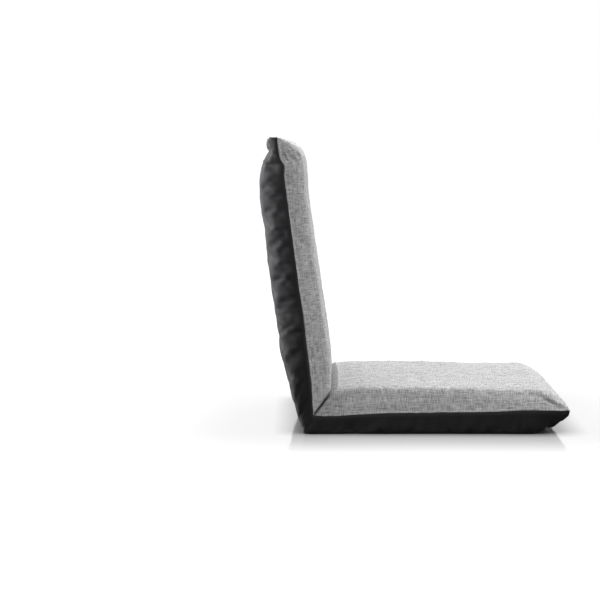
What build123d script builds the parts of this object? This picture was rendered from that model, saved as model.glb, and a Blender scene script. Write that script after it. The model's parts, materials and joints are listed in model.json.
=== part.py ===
from build123d import *

import math
import os

# Folding floor chair: two padded panels, seat and back, joined by a pair of
# ratchet hinges. +X runs from the fold to the front of the seat, +Y to the
# sitter's left and +Z up. The origin is on the floor under the hinge axis.
# A panel is drawn by its own lengths: u from the hinge axis towards the free
# end, w from the seam plane towards the padded face, y across the width.

os.makedirs("parts", exist_ok=True)

# ---- whole chair ----
PIVOT_HEIGHT = 47.0  # hinge axis and seam plane above the floor
PANEL_WIDTH = 520.0
SEAT_LENGTH = 530.0  # hinge axis to the seam at the front
BACK_LENGTH = 565.0  # hinge axis to the seam at the top
BACK_ANGLE = 97.0  # between the panels, upright
FORWARD_ANGLE = 40.0  # between the panels, folded forward
FLAT_ANGLE = 180.0

# ---- cover and padding ----
FACE_EDGE_HEIGHT = 41.0  # ridge of the padded face above the seam
FACE_CROWN = 47.0  # middle of the padded face above the seam
FACE_EDGE_INSET = 46.0  # ridge inwards from the seam
UNDER_EDGE_LIFT = 4.0  # lower edge above the floor
UNDER_BELLY_SAG = 4.0  # belly below the floor, before the underside is cut flat
UNDER_EDGE_INSET = 16.0
SIDE_BULGE = 3.5  # how far a side rounds out between its edges
SIDE_SHRINK = 1.5  # how much more than its faces an inner shape's sides draw in
SIDE_DRAW_IN = 6.0  # how far a long seam pulls in between its corners
COVER_THICKNESS = 1.5
SOFT_CLEARANCE = 0.3  # between cover and foam, and foam and frame
SEAT_TAIL = 20.0  # seat underside carried on behind the hinge axis
FOLD_GAP = 1.0  # between the undersides when the chair is flat
GUSSET_BOW = 5.0  # how far the gusset bows out between its ends
MITRE_GAP = 0.6  # each fold pad from the mitre plane
FOLD_START = 3.0  # padding starts this far from the hinge axis
BACK_HEEL_SHARE = 0.76  # back's depth at the fold, as a share of its full depth
HEEL_MIDDLE = 80.0  # half way from the heel to the full depth
HEEL_END = 150.0
THIN_SECTION = 1.2  # sections thinner than this are left out
FOLD_PAD_GAP = 4.0  # between the fold pad and the hinge pocket

# ---- frame ----
TUBE_DIAMETER = 19.0
TUBE_WALL = 1.5
TUBE_BEND = 60.0
FRAME_INSET = 55.0  # tube centre line from the sides of the cover
FRAME_END_INSET = 78.0  # tube centre line from the seam at the free end
CROSS_TUBE_DIAMETER = 16.0
CROSS_TUBE_WALL = 1.2
CROSS_TUBE_PLACE = 140.0
STRAP_WIDTH = 50.0
STRAP_THICKNESS = 1.4
STRAP_PITCH = 72.0
STRAP_FIRST = 195.0
SEAT_STRAPS = 3
BACK_STRAPS = 4

# ---- ratchet hinge ----
RATCHET_THICKNESS = 5.0
RATCHET_ROOT = 17.0
RATCHET_CREST = 21.0
RATCHET_NECK = 18.0
TOOTH_PITCH = 17.0  # degrees between two positions of the back
NOTCHES = 5
CREST_LAND = 2.0  # degrees of flat on top of a tooth
TOOTH_ROOT_OVERLAP = 3.0  # how far a tooth reaches into the plate
TOOTH_FOOT_SINK = 0.2
NOSE_HALF_ANGLE = 5.5  # degrees that the pawl's nose needs each side
PAWL_DIRECTION = -70.0  # degrees from the seat's u axis to the pawl's nose
PAWL_ARM = 20.0  # pawl pin to nose
PAWL_RELEASE = 14.0  # degrees between held off and dropped in
PAWL_NOSE_GAP = 0.5
NOSE_LEAD = 1.0  # degrees taken off the nose's leading side
NOSE_TIP_SLOPE = 3.0  # degrees from the pawl's direction to the end of the tip
NOSE_FOOT_SLOPE = 7.0  # and to the end of its foot
PAWL_INNER = 22.0
PAWL_OUTER = 26.0
PAWL_BOSS = 5.2
PAWL_TAIL_LENGTH = 9.0
PAWL_TAIL_WIDTH = 5.0
PAWL_SIDE_PLAY = 0.3
SPRING_THICKNESS = 0.8
SPRING_BOW = 2.0
SPRING_TOUCH_INSET = 1.0  # from the tip of the pawl's tail
SPRING_TOUCH_GAP = 0.1
SPRING_ANCHOR_INSET = 3.0  # from the edge of the lug
CHEEK_THICKNESS = 2.5
CHEEK_RADIUS = 25.0
CHEEK_GUARD = 12.0  # how far the cheeks reach round the pawl's nose
CHEEK_PIN_WALL = 10.0
CHEEK_PLAY = 0.4  # ratchet plate to cheek
ARM_WIDTH = 22.0
ARM_END = 98.0
BACK_ARM_START = 45.0
RATCHET_TAIL_END = 72.0
LUG_START = 48.0
LUG_WIDTH = 20.0
SHOULDER_LENGTH = 4.0
SHOULDER_GAP = 4.0  # between the arms and the shoulder
SPIGOT_LENGTH = 34.0
FIT = 0.2  # radial play of pins, bushes and spigots
PIVOT_DIAMETER = 8.0
PIVOT_HEAD = 18.0
BUSH_DIAMETER = 12.0
PAWL_PIN_DIAMETER = 5.0
PAWL_PIN_HEAD = 9.0
RIVET_DIAMETER = 5.0
RIVET_HEAD = 9.5
HEAD_HEIGHT = 2.2
SEAT_RIVETS = (58.0, 84.0)
BACK_RIVETS = (53.0, 65.0, 80.0, 92.0)

# ---- pockets in the foam ----
HINGE_POCKET_PLAY = 2.0
ARM_POCKET_PLAY = 2.0
ARM_POCKET_END_PLAY = 1.0
SEAM_OVERLAP = 5.0  # how far the inside of a cover reaches over the seam plane

# ---- sizes that follow ----
UNDER_EDGE_DEPTH = PIVOT_HEIGHT - UNDER_EDGE_LIFT
UNDER_BELLY = PIVOT_HEIGHT + UNDER_BELLY_SAG
OUTLINE_TOP = 2 * FACE_CROWN  # well above all padding
HALF_WIDTH = PANEL_WIDTH / 2
HINGE_Y = HALF_WIDTH - FRAME_INSET
TUBE_RADIUS = TUBE_DIAMETER / 2
STRAP_RADIUS = TUBE_RADIUS + STRAP_THICKNESS
POCKET_HALF_DEPTH = STRAP_RADIUS + SOFT_CLEARANCE
CHEEK_INNER = RATCHET_THICKNESS / 2 + CHEEK_PLAY
CHEEK_OUTER = CHEEK_INNER + CHEEK_THICKNESS
ARM_INNER = RATCHET_THICKNESS / 2
ARM_OUTER = ARM_INNER + CHEEK_THICKNESS
HINGE_POCKET_HALF = CHEEK_OUTER + HEAD_HEIGHT + HINGE_POCKET_PLAY
HINGE_POCKET_DEPTH = (RATCHET_ROOT + RATCHET_CREST) / 2 + CHEEK_GUARD + HINGE_POCKET_PLAY
FOLD_PAD_HALF = HINGE_Y - HINGE_POCKET_HALF - FOLD_PAD_GAP
TUBE_START = ARM_END + SHOULDER_GAP + SHOULDER_LENGTH
MITRE_ANGLE = BACK_ANGLE / 2
CLEAR_ANGLE = FORWARD_ANGLE / 2
FAR = 2 * BACK_LENGTH
SIDES = {"left": 1, "right": -1}

# along the padded face: share of the length, share of height
FACE_RUN = ((0.0, 0.96), (0.22, 1.0), (0.5, 1.02), (0.75, 1.0))
# how the padded face falls to the seam: distance from the end, share of height
FACE_END = ((64.0, 0.97), (45.0, 0.85), (27.0, 0.56), (8.0, 0.18), (0.0, 0.05))
# along the underside past its heel: share of the length, all at full depth
UNDER_RUN = (0.5, 0.72)
# how the underside rises to the seam
UNDER_END = ((62.0, 0.99), (43.0, 0.74), (26.0, 0.46), (10.0, 0.20), (0.0, 0.05))


def along(degrees):
    """Unit direction in the XZ plane, turned from +X towards +Z."""
    return (math.cos(math.radians(degrees)), 0, math.sin(math.radians(degrees)))


AXIS_POINT = (0, 0, PIVOT_HEIGHT)
SEAT = Plane(origin=AXIS_POINT, x_dir=along(0), z_dir=(0, -1, 0))
BACK = Plane(origin=AXIS_POINT, x_dir=along(BACK_ANGLE), z_dir=(0, 1, 0))


def station(panel, u):
    """Plane across a panel at u, with y across and w up the section."""
    return Plane(origin=panel.from_local_coords((u, 0, 0)), x_dir=-panel.z_dir, z_dir=panel.x_dir)


def plan(panel, w=0.0):
    """Plane in a panel at height w, with u along it."""
    return Plane(origin=panel.from_local_coords((0, w, 0)), x_dir=panel.x_dir, z_dir=panel.y_dir)


def layer(panel, y):
    """Side plane of a panel, moved to a place across the chair."""
    return Plane(origin=(0, y, PIVOT_HEIGHT), x_dir=panel.x_dir, z_dir=panel.z_dir)


def polar(radius, degrees):
    return (radius * math.cos(math.radians(degrees)), radius * math.sin(math.radians(degrees)))


def seam_half(u, length):
    """Half width at the seam, pulled in between the corners."""
    t = min(max(u / length, 0.0), 1.0)
    return HALF_WIDTH - SIDE_DRAW_IN * 4 * t * (1 - t)


def padding_section(plane, half, inset, edge, middle, base):
    """Face of one section: seam line, two rounded sides and the crown or belly."""
    edge_half = half - inset
    side_middle = (half - inset / 2 + SIDE_BULGE * min(1, abs(edge) / FACE_EDGE_HEIGHT), edge / 2)
    with BuildSketch(plane) as section:
        with BuildLine():
            Line((half, base), (-half, base))
            Line((-half, base), (-half, 0))
            ThreePointArc((-half, 0), (-side_middle[0], side_middle[1]), (-edge_half, edge))
            ThreePointArc((-edge_half, edge), (0, middle), (edge_half, edge))
            ThreePointArc((edge_half, edge), side_middle, (half, 0))
            Line((half, 0), (half, base))
        make_face()
    return section.sketch


def padding(panel, length, start, stations, inset, edge, middle, inward):
    """Solid of one half of a panel, lofted through its sections. A positive edge
    is the padded face and a negative one the underside; inward shrinks it all."""
    sign = math.copysign(1, edge)
    base = -sign
    sections = []
    for u, share in stations:
        edge_here = edge * share - sign * inward
        if abs(edge_here) < THIN_SECTION or edge_here * sign < 0:
            continue
        place = station(panel, max(u, start))
        half = seam_half(u, length) - inward * SIDE_SHRINK
        middle_here = middle * share - sign * inward
        sections.append(padding_section(place, half, inset * share, edge_here, middle_here, base))
    with BuildPart() as half_panel:
        loft(sections, ruled=True)
    return half_panel.part


def end_stations(length, profile):
    return [(length - distance, share) for distance, share in profile]


def face_solid(panel, length, inward):
    """Padded face of a panel, from the hinge axis to the free end."""
    stations = [(part * length, share) for part, share in FACE_RUN] + end_stations(length, FACE_END)
    return padding(panel, length, 0.0, stations, FACE_EDGE_INSET, FACE_EDGE_HEIGHT, FACE_CROWN, inward)


def under_solid(panel, length, start, heel, inward):
    """Underside of a panel; heel is its share of depth at the fold."""
    stations = [(start, heel), (HEEL_MIDDLE, (1 + heel) / 2), (HEEL_END, 1.0)]
    stations += [(part * length, 1.0) for part in UNDER_RUN] + end_stations(length, UNDER_END)
    edge = -UNDER_EDGE_DEPTH
    return padding(panel, length, start, stations, UNDER_EDGE_INSET, edge, -UNDER_BELLY, inward)


def above_clear_line(offset):
    """Side outline of the padding that stays clear of the other panel when the
    chair is folded forward."""
    run = OUTLINE_TOP / math.tan(math.radians(CLEAR_ANGLE))
    start = FOLD_START + offset
    return [(start, 0), (FAR, 0), (FAR, OUTLINE_TOP), (start + run, OUTLINE_TOP)]


def fold_wedge(offset):
    """Side outline of the padding between that line and the mitre plane."""
    clear_run = OUTLINE_TOP / math.tan(math.radians(CLEAR_ANGLE))
    mitre_run = OUTLINE_TOP / math.tan(math.radians(MITRE_ANGLE))
    mitre_start = MITRE_GAP / math.sin(math.radians(MITRE_ANGLE)) + offset
    end = FOLD_START - SOFT_CLEARANCE
    return [(mitre_start, 0), (end, 0), (end + clear_run, OUTLINE_TOP),
            (mitre_start + mitre_run, OUTLINE_TOP)]


def below_seam(start, floor):
    """Side outline of an underside, cut flat at the floor depth."""
    return [(start, 0), (FAR, 0), (FAR, -floor), (start, -floor)]


def keep_inside(panel, outline, half_width=FAR):
    """Cut the part being built to a side outline."""
    with BuildSketch(panel) as side:
        with BuildLine():
            Polyline(*outline, close=True)
        make_face()
    extrude(side.sketch, amount=half_width, both=True, mode=Mode.INTERSECT)


def cut_frame_pocket(panel, length):
    """Room for the frame and its straps between the two foam slabs."""
    reach = length - FRAME_END_INSET + POCKET_HALF_DEPTH
    with BuildSketch(plan(panel)) as pocket:
        with Locations((reach / 2 - HALF_WIDTH / 2, 0)):
            Rectangle(reach + HALF_WIDTH, 2 * (HINGE_Y + POCKET_HALF_DEPTH))
    extrude(pocket.sketch, amount=POCKET_HALF_DEPTH, both=True, mode=Mode.SUBTRACT)


def cut_hinge_pockets(panel):
    """Room for the hinge heads and arms in the foam."""
    for side in SIDES.values():
        with BuildSketch(layer(panel, side * HINGE_Y)) as pocket:
            Rectangle(2 * BACK_ARM_START, 2 * HINGE_POCKET_DEPTH)
            Rectangle(2 * (TUBE_START + ARM_POCKET_END_PLAY), ARM_WIDTH + 2 * ARM_POCKET_PLAY)
        extrude(pocket.sketch, amount=HINGE_POCKET_HALF, both=True, mode=Mode.SUBTRACT)


def finish(solid, name):
    solid.part.label = name
    export_step(solid.part, f"parts/{name}.step")


# ---- covers ----
PANELS = {
    "seat": (SEAT, SEAT_LENGTH, -SEAT_TAIL, 1.0),
    "back": (BACK, BACK_LENGTH, SEAT_TAIL + FOLD_GAP, BACK_HEEL_SHARE),
}
FACE_NAME = {"seat": "seat_cover_top", "back": "back_cover_front"}
UNDER_NAME = {"seat": "seat_cover_bottom", "back": "back_cover_rear"}
UPPER_FOAM_NAME = {"seat": "seat_foam_upper", "back": "back_foam_front"}
LOWER_FOAM_NAME = {"seat": "seat_foam_lower", "back": "back_foam_rear"}
FOAM_INSET = COVER_THICKNESS + SOFT_CLEARANCE

for panel_name, (panel, length, under_start, heel) in PANELS.items():
    face_outer = face_solid(panel, length, 0.0)
    face_inner = face_solid(panel, length, COVER_THICKNESS)
    face_foam = face_solid(panel, length, FOAM_INSET)
    under_outer = under_solid(panel, length, under_start, heel, 0.0)
    under_inner = under_solid(panel, length, under_start, heel, COVER_THICKNESS)
    under_foam = under_solid(panel, length, under_start, heel, FOAM_INSET)

    with BuildPart() as face_cover:
        add(face_outer)
        keep_inside(panel, above_clear_line(0.0))
        add(face_inner, mode=Mode.SUBTRACT)
    finish(face_cover, FACE_NAME[panel_name])

    with BuildPart() as fold_cover:
        add(face_outer)
        keep_inside(panel, fold_wedge(0.0))
        add(face_inner, mode=Mode.SUBTRACT)
    finish(fold_cover, f"{panel_name}_fold_cover")

    with BuildPart() as under_inner_flat:
        add(under_inner)
        flat_depth = COVER_THICKNESS - PIVOT_HEIGHT
        keep_inside(panel, [(-FAR, SEAM_OVERLAP), (FAR, SEAM_OVERLAP), (FAR, flat_depth), (-FAR, flat_depth)])
    with BuildPart() as under_cover:
        add(under_outer)
        keep_inside(panel, below_seam(under_start, PIVOT_HEIGHT))
        add(under_inner_flat.part, mode=Mode.SUBTRACT)
    finish(under_cover, UNDER_NAME[panel_name])

    with BuildPart() as upper_foam:
        add(face_foam)
        keep_inside(panel, above_clear_line(SOFT_CLEARANCE))
        cut_frame_pocket(panel, length)
        cut_hinge_pockets(panel)
    finish(upper_foam, UPPER_FOAM_NAME[panel_name])

    with BuildPart() as fold_foam:
        add(face_foam)
        keep_inside(panel, fold_wedge(SOFT_CLEARANCE), FOLD_PAD_HALF)
    finish(fold_foam, f"{panel_name}_fold_foam")

    with BuildPart() as lower_foam:
        add(under_foam)
        keep_inside(panel, below_seam(under_start + FOAM_INSET, PIVOT_HEIGHT - FOAM_INSET))
        cut_frame_pocket(panel, length)
        cut_hinge_pockets(panel)
    finish(lower_foam, LOWER_FOAM_NAME[panel_name])


# the gusset closes the outside of the fold, from the seat's tail to the back's heel
HEEL_DEPTH = BACK_HEEL_SHARE * (UNDER_EDGE_DEPTH + UNDER_BELLY) / 2
heel_point = BACK.from_local_coords((SEAT_TAIL, -HEEL_DEPTH, 0))
heel_inner = BACK.from_local_coords((SEAT_TAIL, -HEEL_DEPTH / 2, 0))
tail = -SEAT_TAIL - FOLD_GAP / 2
GUSSET_HALF = HALF_WIDTH - UNDER_EDGE_INSET / 2
gusset_side = Plane(origin=(0, 0, 0), x_dir=(1, 0, 0), z_dir=(0, -1, 0))


def gusset_prism(inward, half_width, corners, mode):
    """Side outline of the gusset from the floor to the back's heel, extruded; the
    arc is its outside, and the corners close the outline on the inside."""
    foot = (tail - inward, FOLD_GAP - inward)
    knee = ((tail + heel_point.X) / 2 - GUSSET_BOW + inward, heel_point.Z / 2)
    shin = (heel_point.X + inward, heel_point.Z)
    with BuildSketch(gusset_side) as outline:
        with BuildLine():
            ThreePointArc(foot, knee, shin)
            Polyline(shin, *corners, foot)
        make_face()
    extrude(outline.sketch, amount=half_width, both=True, mode=mode)


with BuildPart() as fold_gusset:
    gusset_prism(0.0, GUSSET_HALF, [(tail, heel_inner.Z)], Mode.ADD)
    above = heel_inner.Z + FOLD_START
    clear_corners = [(heel_point.X + COVER_THICKNESS, above), (0, above)]
    gusset_prism(COVER_THICKNESS, GUSSET_HALF - COVER_THICKNESS, clear_corners, Mode.SUBTRACT)
finish(fold_gusset, "fold_gusset")


# ---- frame ----
for panel_name, (panel, length, under_start, heel) in PANELS.items():
    end = length - FRAME_END_INSET
    with BuildPart() as frame_tube:
        with BuildLine(plan(panel)) as frame_path:
            FilletPolyline((TUBE_START, -HINGE_Y), (end, -HINGE_Y), (end, HINGE_Y), (TUBE_START, HINGE_Y),
                           radius=TUBE_BEND)
        with BuildSketch(Plane(origin=frame_path.line @ 0, z_dir=frame_path.line % 0)):
            Circle(TUBE_RADIUS)
            Circle(TUBE_RADIUS - TUBE_WALL, mode=Mode.SUBTRACT)
        sweep()
    finish(frame_tube, f"{panel_name}_frame_tube")

    with BuildPart() as cross_tube:
        with BuildSketch(panel):
            with Locations((CROSS_TUBE_PLACE, 0)):
                Circle(CROSS_TUBE_DIAMETER / 2)
                Circle(CROSS_TUBE_DIAMETER / 2 - CROSS_TUBE_WALL, mode=Mode.SUBTRACT)
        extrude(amount=HINGE_Y, both=True)
        with BuildSketch(station(panel, CROSS_TUBE_PLACE)):
            with Locations((-HINGE_Y, 0), (HINGE_Y, 0)):
                Circle(TUBE_RADIUS)
        extrude(amount=CROSS_TUBE_DIAMETER, both=True, mode=Mode.SUBTRACT)
    finish(cross_tube, f"{panel_name}_cross_tube")

    strap_count = SEAT_STRAPS if panel_name == "seat" else BACK_STRAPS
    with BuildPart() as webbing:
        for strap in range(strap_count):
            with BuildSketch(station(panel, STRAP_FIRST + strap * STRAP_PITCH)):
                SlotCenterToCenter(2 * HINGE_Y, 2 * STRAP_RADIUS)
                SlotCenterToCenter(2 * HINGE_Y, TUBE_DIAMETER, mode=Mode.SUBTRACT)
            extrude(amount=STRAP_WIDTH / 2, both=True)
    finish(webbing, f"{panel_name}_webbing")


# ---- ratchet hinges ----
NOSE_RADIUS = RATCHET_ROOT + PAWL_NOSE_GAP
nose_middle = (RATCHET_ROOT + RATCHET_CREST) / 2
nose_point = Vector(*polar(nose_middle, PAWL_DIRECTION))
PAWL_PIN = nose_point + PAWL_ARM * Vector(*polar(1, PAWL_DIRECTION + 90))
FIRST_NOTCH = BACK_ANGLE - PAWL_DIRECTION  # upright notch, from the ratchet's neck
FLAT_NOTCH = FLAT_ANGLE - PAWL_DIRECTION  # where the nose lies when the back is flat


def rivet(panel, y, places, diameter, head, grip):
    """Flat-headed rivets through a stack of plates whose outer faces are grip apart."""
    for u, w in places:
        with BuildSketch(layer(panel, y)) as shank:
            with Locations((u, w)):
                Circle(diameter / 2)
        extrude(shank.sketch, amount=grip / 2, both=True)
        for turn in (1, -1):
            with BuildSketch(layer(panel, y + turn * grip / 2)) as head_face:
                with Locations((u, w)):
                    Circle(head / 2)
            extrude(head_face.sketch, amount=HEAD_HEIGHT, dir=(0, turn, 0))


def lug(panel, y, start, thickness, rivets):
    """Flat tongue with a shoulder and a spigot that fills the end of a tube."""
    tongue_end = TUBE_START - SHOULDER_LENGTH
    with BuildSketch(layer(panel, y)) as tongue:
        with Locations(((start + tongue_end) / 2, 0)):
            Rectangle(tongue_end - start, LUG_WIDTH)
        with Locations(*[(u, 0) for u in rivets]):
            Circle(RIVET_DIAMETER / 2 + FIT / 2, mode=Mode.SUBTRACT)
    extrude(tongue.sketch, amount=thickness / 2, both=True)
    across = y * -panel.z_dir.Y
    for place, radius, reach in ((tongue_end, TUBE_RADIUS, SHOULDER_LENGTH),
                                 (TUBE_START, TUBE_RADIUS - TUBE_WALL - FIT, SPIGOT_LENGTH)):
        with BuildSketch(station(panel, place)) as disc:
            with Locations((across, 0)):
                Circle(radius)
        extrude(disc.sketch, amount=reach)


def arm_sketch(start, end, holes):
    """Flat arm with a rounded far end and its rivet holes."""
    straight = end - ARM_WIDTH / 2
    with Locations(((start + straight) / 2, 0)):
        Rectangle(straight - start, ARM_WIDTH)
    with Locations((straight, 0)):
        Circle(ARM_WIDTH / 2)
    with Locations(*[(u, 0) for u in holes]):
        Circle(RIVET_DIAMETER / 2 + FIT / 2, mode=Mode.SUBTRACT)


def tooth(number):
    """One ratchet tooth: a locking face, a narrow land and a sloping back."""
    lock = FIRST_NOTCH + number * TOOTH_PITCH + NOSE_HALF_ANGLE
    last = number == NOTCHES - 1
    foot = (FLAT_NOTCH if last else FIRST_NOTCH + (number + 1) * TOOTH_PITCH) - NOSE_HALF_ANGLE
    inside = RATCHET_ROOT - TOOTH_ROOT_OVERLAP
    with BuildLine() as outline:
        Polyline(polar(inside, lock), polar(RATCHET_CREST, lock), polar(RATCHET_CREST, lock + CREST_LAND),
                 polar(RATCHET_ROOT - TOOTH_FOOT_SINK, foot), polar(inside, foot), close=True)
    make_face(outline.edges())


# the pawl is drawn dropped into the upright notch, then held off by its release angle
pin_place = Location((PAWL_PIN.X, PAWL_PIN.Y, 0))
pawl_place = SEAT.location * pin_place * Location((0, 0, 0), (0, 0, PAWL_RELEASE)) * pin_place.inverse()
pawl_direction_at_pin = math.degrees(math.atan2(PAWL_PIN.Y, PAWL_PIN.X))
nose_root = (3 * PAWL_INNER + PAWL_OUTER) / 4

for side_name, side in SIDES.items():
    y = side * HINGE_Y

    with BuildPart() as ratchet:
        with BuildSketch(layer(BACK, y)):
            Circle(RATCHET_ROOT)
            for number in range(NOTCHES):
                tooth(number)
            with Locations((RATCHET_TAIL_END / 2, 0)):
                Rectangle(RATCHET_TAIL_END, RATCHET_NECK)
            Circle(BUSH_DIAMETER / 2 + FIT / 2, mode=Mode.SUBTRACT)
            with Locations(*[(u, 0) for u in BACK_RIVETS[:2]]):
                Circle(RIVET_DIAMETER / 2 + FIT / 2, mode=Mode.SUBTRACT)
        extrude(amount=RATCHET_THICKNESS / 2, both=True)
    finish(ratchet, f"ratchet_plate_{side_name}")

    with BuildPart() as bush:
        with BuildSketch(layer(BACK, y)):
            Circle(BUSH_DIAMETER / 2)
            Circle(PIVOT_DIAMETER / 2 + FIT, mode=Mode.SUBTRACT)
        extrude(amount=RATCHET_THICKNESS / 2, both=True)
    finish(bush, f"pivot_bush_{side_name}")

    for face_name, face in (("outer", side), ("inner", -side)):
        with BuildPart() as cheek:
            with BuildSketch(layer(SEAT, y + face * CHEEK_INNER)):
                Circle(CHEEK_RADIUS)
                with Locations((PAWL_PIN.X, PAWL_PIN.Y)):
                    Circle(CHEEK_PIN_WALL)
                with Locations((nose_point.X, nose_point.Y)):
                    Circle(CHEEK_GUARD)
                make_hull()
                arm_sketch(0, ARM_END, SEAT_RIVETS)
                Circle(PIVOT_DIAMETER / 2 + FIT / 2, mode=Mode.SUBTRACT)
                with Locations((PAWL_PIN.X, PAWL_PIN.Y)):
                    Circle(PAWL_PIN_DIAMETER / 2 + FIT / 2, mode=Mode.SUBTRACT)
            extrude(amount=-face * CHEEK_THICKNESS)
        finish(cheek, f"hinge_cheek_{face_name}_{side_name}")

        with BuildPart() as back_arm:
            with BuildSketch(layer(BACK, y + face * ARM_INNER)):
                arm_sketch(BACK_ARM_START, ARM_END, BACK_RIVETS)
            extrude(amount=face * CHEEK_THICKNESS)
        finish(back_arm, f"back_arm_{face_name}_{side_name}")

    with BuildPart() as seat_lug:
        lug(SEAT, y, LUG_START, 2 * CHEEK_INNER, SEAT_RIVETS)
    finish(seat_lug, f"seat_tube_lug_{side_name}")

    with BuildPart() as back_lug:
        lug(BACK, y, RATCHET_TAIL_END, RATCHET_THICKNESS, BACK_RIVETS[2:])
    finish(back_lug, f"back_tube_lug_{side_name}")

    with BuildPart() as pivot_rivet:
        rivet(SEAT, y, [(0, 0)], PIVOT_DIAMETER, PIVOT_HEAD, 2 * CHEEK_OUTER)
    finish(pivot_rivet, f"pivot_rivet_{side_name}")

    with BuildPart() as pawl_pin:
        rivet(SEAT, y, [(PAWL_PIN.X, PAWL_PIN.Y)], PAWL_PIN_DIAMETER, PAWL_PIN_HEAD, 2 * CHEEK_OUTER)
    finish(pawl_pin, f"pawl_pin_{side_name}")

    with BuildPart() as seat_rivets:
        rivet(SEAT, y, [(u, 0) for u in SEAT_RIVETS], RIVET_DIAMETER, RIVET_HEAD, 2 * CHEEK_OUTER)
    finish(seat_rivets, f"seat_arm_rivets_{side_name}")

    with BuildPart() as back_rivets:
        rivet(BACK, y, [(u, 0) for u in BACK_RIVETS], RIVET_DIAMETER, RIVET_HEAD, 2 * ARM_OUTER)
    finish(back_rivets, f"back_arm_rivets_{side_name}")

    with BuildPart() as pawl:
        with BuildSketch(Plane(Location((0, y, 0)) * pawl_place)):
            with BuildLine():
                start = PAWL_DIRECTION - NOSE_HALF_ANGLE + NOSE_LEAD
                Line(polar(PAWL_INNER, start), polar(PAWL_OUTER, start))
                RadiusArc(polar(PAWL_OUTER, start), polar(PAWL_OUTER, pawl_direction_at_pin), -PAWL_OUTER)
                Line(polar(PAWL_OUTER, pawl_direction_at_pin), polar(PAWL_INNER, pawl_direction_at_pin))
                RadiusArc(polar(PAWL_INNER, pawl_direction_at_pin), polar(PAWL_INNER, start), PAWL_INNER)
            make_face()
            with BuildLine():
                Polyline(polar(nose_root, start), polar(NOSE_RADIUS, start),
                         polar(NOSE_RADIUS, PAWL_DIRECTION + NOSE_TIP_SLOPE),
                         polar(nose_root, PAWL_DIRECTION + NOSE_FOOT_SLOPE), close=True)
            make_face()
            with Locations((PAWL_PIN.X, PAWL_PIN.Y)):
                Circle(PAWL_BOSS)
            with Locations((PAWL_PIN.X + PAWL_TAIL_LENGTH / 2, PAWL_PIN.Y)):
                Rectangle(PAWL_TAIL_LENGTH, PAWL_TAIL_WIDTH)
            with Locations((PAWL_PIN.X, PAWL_PIN.Y)):
                Circle(PAWL_PIN_DIAMETER / 2 + FIT, mode=Mode.SUBTRACT)
        extrude(amount=RATCHET_THICKNESS / 2 - PAWL_SIDE_PLAY + CHEEK_PLAY, both=True)
    finish(pawl, f"pawl_{side_name}")

    with BuildPart() as spring:
        tail_tip = Vector(PAWL_TAIL_LENGTH, PAWL_TAIL_WIDTH / 2 + SOFT_CLEARANCE).rotate(Axis.Z, PAWL_RELEASE)
        touch = (PAWL_PIN.X + tail_tip.X - SPRING_TOUCH_INSET, PAWL_PIN.Y + tail_tip.Y + SPRING_TOUCH_GAP)
        anchor = (LUG_START, LUG_WIDTH / 2 - SPRING_ANCHOR_INSET)
        with BuildSketch(layer(SEAT, y)):
            with BuildLine():
                bow = ((touch[0] + anchor[0]) / 2 - SPRING_BOW, (touch[1] + anchor[1]) / 2 + SPRING_BOW)
                ThreePointArc(touch, bow, anchor)
                Line(anchor, (anchor[0], anchor[1] + SPRING_THICKNESS))
                ThreePointArc((anchor[0], anchor[1] + SPRING_THICKNESS),
                              (bow[0] - SPRING_THICKNESS / 2, bow[1] + SPRING_THICKNESS),
                              (touch[0], touch[1] + SPRING_THICKNESS))
                Line((touch[0], touch[1] + SPRING_THICKNESS), touch)
            make_face()
        extrude(amount=RATCHET_THICKNESS / 2 - PAWL_SIDE_PLAY, both=True)
    finish(spring, f"pawl_spring_{side_name}")
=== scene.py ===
"""Folding floor chair: the cloth covers, foam, webbing and metal finishes that
dress the chair's solid frame, and the pale studio that it stands in."""

import json
import math

import bpy
import numpy as np
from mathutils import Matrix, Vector
from mathutils.bvhtree import BVHTree

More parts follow.
